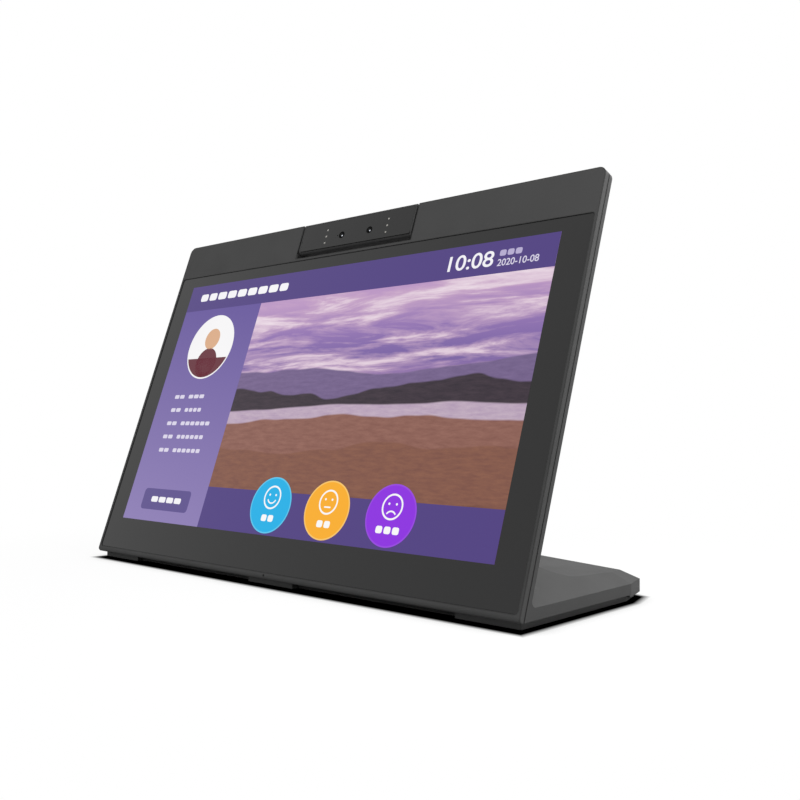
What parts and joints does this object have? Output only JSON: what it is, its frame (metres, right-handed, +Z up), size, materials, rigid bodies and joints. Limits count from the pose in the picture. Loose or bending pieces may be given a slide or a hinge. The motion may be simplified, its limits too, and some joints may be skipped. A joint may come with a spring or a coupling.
{
  "type": "customer feedback button terminal",
  "caption": "Leaning touch screen on a low swept base, for tapped on-screen feedback buttons, with a tilting camera bar in its top edge.",
  "frame": {"origin": "middle of the overall width and depth, on the ground under the feet", "axes": "+X to the viewer's right, +Y to the back, +Z up"},
  "size_m": [0.3854, 0.163, 0.249],
  "materials": {
    "shell": "fine grain",
    "under_plastic": "fine grain",
    "cover_glass": "dark printed border, smooth",
    "bond": "soft",
    "display": "smooth",
    "diffuser": "satin",
    "sheet_steel": "plated",
    "screw_steel": "plated",
    "weight_steel": "primed",
    "circuit_board": "smooth",
    "rubber": "moulded",
    "black_plastic": "smooth",
    "mesh": "woven",
    "bar_face": "smooth",
    "lens": "polished",
    "lamp": "smooth",
    "bush_brass": "turned",
    "washer_plastic": "slippery",
    "aluminium": "anodised",
    "socket_metal": "tin plated",
    "ribbon": "flexible film",
    "screen_picture": "lit picture layer",
    "screen_controls": "lit control layer"
  },
  "bodies": {
    "terminal": {"antenna_left": "circuit_board", "antenna_right": "circuit_board", "audio_socket": "black_plastic", "backlight": "diffuser", "base_weight": "weight_steel", "board_screws": "screw_steel", "bottom_plate": "under_plastic", "bracket_base_screws": "screw_steel", "bracket_left": "sheet_steel", "bracket_right": "sheet_steel", "bracket_tray_screws": "screw_steel", "camera_cable": "ribbon", "case_screws": "screw_steel", "cover_glass": "cover_glass", "display_cable": "ribbon", "display_cell": "display", "display_driver": "circuit_board", "display_tray": "sheet_steel", "foot_front_left": "rubber", "foot_front_middle": "rubber", "foot_front_right": "rubber", "foot_rear_left": "rubber", "foot_rear_right": "rubber", "friction_washer_left": "washer_plastic", "friction_washer_right": "washer_plastic", "front_frame": "shell", "glass_bond": "bond", "heat_pad": "rubber", "heat_sink": "aluminium", "mainboard": "circuit_board", "microphone": "circuit_board", "outlet_mesh_left": "mesh", "outlet_mesh_right": "mesh", "pivot_bush_left": "bush_brass", "pivot_bush_right": "bush_brass", "plate_screws": "screw_steel", "power_socket": "black_plastic", "power_switch": "black_plastic", "processor_shield": "sheet_steel", "rear_shell": "shell", "small_usb_socket": "socket_metal", "speaker_left": "black_plastic", "speaker_right": "black_plastic", "touch_board": "circuit_board", "touch_cable": "ribbon", "tray_screws": "screw_steel", "usb_socket_left": "socket_metal", "usb_socket_right": "socket_metal"},
    "camera_bar": {"camera_housing": "shell", "camera_face": "bar_face", "camera_board": "circuit_board", "infrared_camera": "lens", "colour_camera": "lens", "infrared_lamps": "lamp", "camera_screws": "screw_steel", "pivot_pin_left": "screw_steel", "pivot_pin_right": "screw_steel", "pin_clips": "screw_steel"},
    "power_key": {"power_button": "black_plastic", "switch_plunger": "black_plastic"}
  },
  "joints": [
    {"name": "camera_tilt", "type": "hinge", "parent": "terminal", "child": "camera_bar", "pos_m": [0, 0.00928, 0.2356], "axis": [1, 0, 0], "range_deg": [-20, 20]},
    {"name": "power_press", "type": "slide", "parent": "terminal", "child": "power_key", "axis": [0, -1, 0], "range_m": [0, 0.0006], "stiffness_N_per_m": 1000, "springref_m": -0.0005}
  ]
}
